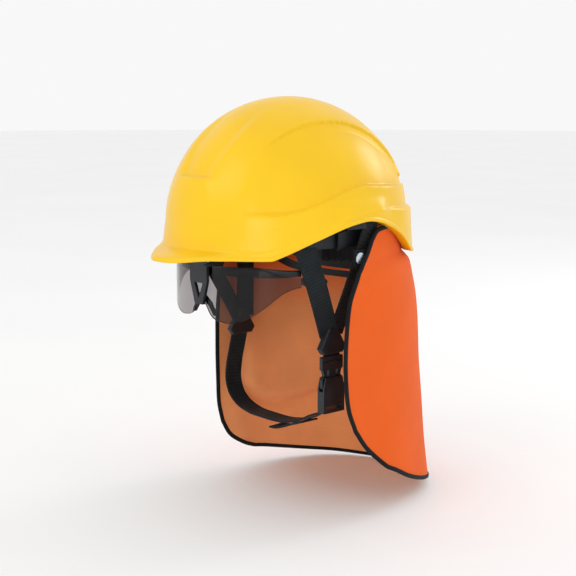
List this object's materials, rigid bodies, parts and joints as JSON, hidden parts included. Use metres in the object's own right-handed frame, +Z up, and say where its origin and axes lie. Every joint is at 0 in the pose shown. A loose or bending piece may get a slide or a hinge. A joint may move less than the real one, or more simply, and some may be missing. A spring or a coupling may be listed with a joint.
{
  "type": "forestry helmet",
  "caption": "Safety helmet with a drop-down tinted visor, an adjustable head ring, a chin strap with a side-release buckle and a cloth neck curtain.",
  "frame": {"origin": "centre of the head opening on the mid-plane, level with the lower edge of the front brim", "axes": "+X to the wearer's left, -Y to the front, +Z up to the crown"},
  "size_m": [0.2158, 0.3165, 0.3989],
  "materials": {
    "shell_yellow": "gloss",
    "curtain_cloth": "woven",
    "binding_tape": "woven",
    "snap_metal": "satin",
    "lens_smoke": "gloss",
    "pad_foam": "knitted",
    "soft_rubber": "matt",
    "webbing_black": "ribbed weave",
    "plastic_black": "satin"
  },
  "bodies": {
    "shell": {"buckle_plug": "plastic_black", "buckle_strap": "webbing_black", "chin_anchor_front_left": "plastic_black", "chin_anchor_front_right": "plastic_black", "chin_anchor_rear_left": "plastic_black", "chin_anchor_rear_right": "plastic_black", "chin_strap": "webbing_black", "chin_strap_tail": "webbing_black", "cradle_clip_front_left": "plastic_black", "cradle_clip_front_right": "plastic_black", "cradle_clip_rear_left": "plastic_black", "cradle_clip_rear_right": "plastic_black", "cradle_clip_side_left": "plastic_black", "cradle_clip_side_right": "plastic_black", "cradle_strap_front_left_to_rear_right": "webbing_black", "cradle_strap_front_right_to_rear_left": "webbing_black", "cradle_strap_side_to_side": "webbing_black", "crown_pad": "pad_foam", "curtain_binding": "binding_tape", "curtain_hooks": "plastic_black", "curtain_tab_left": "webbing_black", "curtain_tab_right": "webbing_black", "front_strap_left": "webbing_black", "front_strap_right": "webbing_black", "headband": "plastic_black", "helmet_shell": "shell_yellow", "neck_curtain": "curtain_cloth", "rail_mounts": "plastic_black", "rear_strap_left": "webbing_black", "rear_strap_right": "webbing_black", "snap_cap_left": "snap_metal", "snap_cap_right": "snap_metal", "snap_stud_left": "snap_metal", "snap_stud_right": "snap_metal", "strap_divider_left": "plastic_black", "strap_divider_right": "plastic_black", "sweatband": "pad_foam", "visor_rail": "plastic_black"},
    "visor_slider": {"visor_shoe": "plastic_black"},
    "visor": {"visor_bracket": "plastic_black", "visor_lens": "lens_smoke", "visor_frame": "plastic_black", "nose_pad": "soft_rubber", "tilt_pin": "snap_metal"},
    "nape": {"nape_cradle": "plastic_black", "nape_pad": "pad_foam", "ratchet_base": "plastic_black", "ratchet_cover": "plastic_black"},
    "rack_upper": {"rack_upper": "plastic_black"},
    "rack_lower": {"rack_lower": "plastic_black"},
    "knob": {"ratchet_knob": "plastic_black", "ratchet_pinion": "plastic_black"},
    "socket": {"buckle_socket": "plastic_black", "chin_strap_end": "webbing_black"},
    "prong_front": {"buckle_prong_front": "plastic_black"},
    "prong_rear": {"buckle_prong_rear": "plastic_black"}
  },
  "joints": [
    {"name": "visor_slide", "type": "slide", "parent": "shell", "child": "visor_slider", "axis": [0, 0, 1], "range_m": [0, 0.047]},
    {"name": "visor_tilt", "type": "hinge", "parent": "visor_slider", "child": "visor", "pos_m": [0, -0.1067, -0.005], "axis": [1, 0, 0], "range_deg": [0, 6]},
    {"name": "nape_slide", "type": "slide", "parent": "shell", "child": "nape", "axis": [0, -1, 0], "range_m": [0, 0.01884]},
    {"name": "knob_turn", "type": "hinge", "parent": "nape", "child": "knob", "pos_m": [0, 0.1023, -0.0195], "axis": [0, -1, 0], "range_deg": [0, 180]},
    {"name": "rack_upper_slide", "type": "slide", "parent": "nape", "child": "rack_upper", "axis": [-1, 0, 0], "range_m": [0, 0.0189]},
    {"name": "rack_lower_slide", "type": "slide", "parent": "nape", "child": "rack_lower", "axis": [1, 0, 0], "range_m": [0, 0.0189]},
    {"name": "buckle_release", "type": "slide", "parent": "shell", "child": "socket", "axis": [0, 0, -1], "range_m": [0, 0.03]},
    {"name": "buckle_prong_front_squeeze", "type": "hinge", "parent": "shell", "child": "prong_front", "pos_m": [0.074, -0.018, -0.1103], "axis": [1, 0, 0], "range_deg": [0, 5], "stiffness_Nm_per_rad": 0.05},
    {"name": "buckle_prong_rear_squeeze", "type": "hinge", "parent": "shell", "child": "prong_rear", "pos_m": [0.074, 0, -0.1103], "axis": [-1, 0, 0], "range_deg": [0, 5], "stiffness_Nm_per_rad": 0.05}
  ],
  "couplings": [
    {"joint": "knob_turn", "follows": "nape_slide", "rad_per_m": 166.67},
    {"joint": "rack_upper_slide", "follows": "nape_slide", "ratio": 1},
    {"joint": "rack_lower_slide", "follows": "nape_slide", "ratio": 1},
    {"joint": "buckle_prong_rear_squeeze", "follows": "buckle_prong_front_squeeze", "ratio": 1}
  ]
}
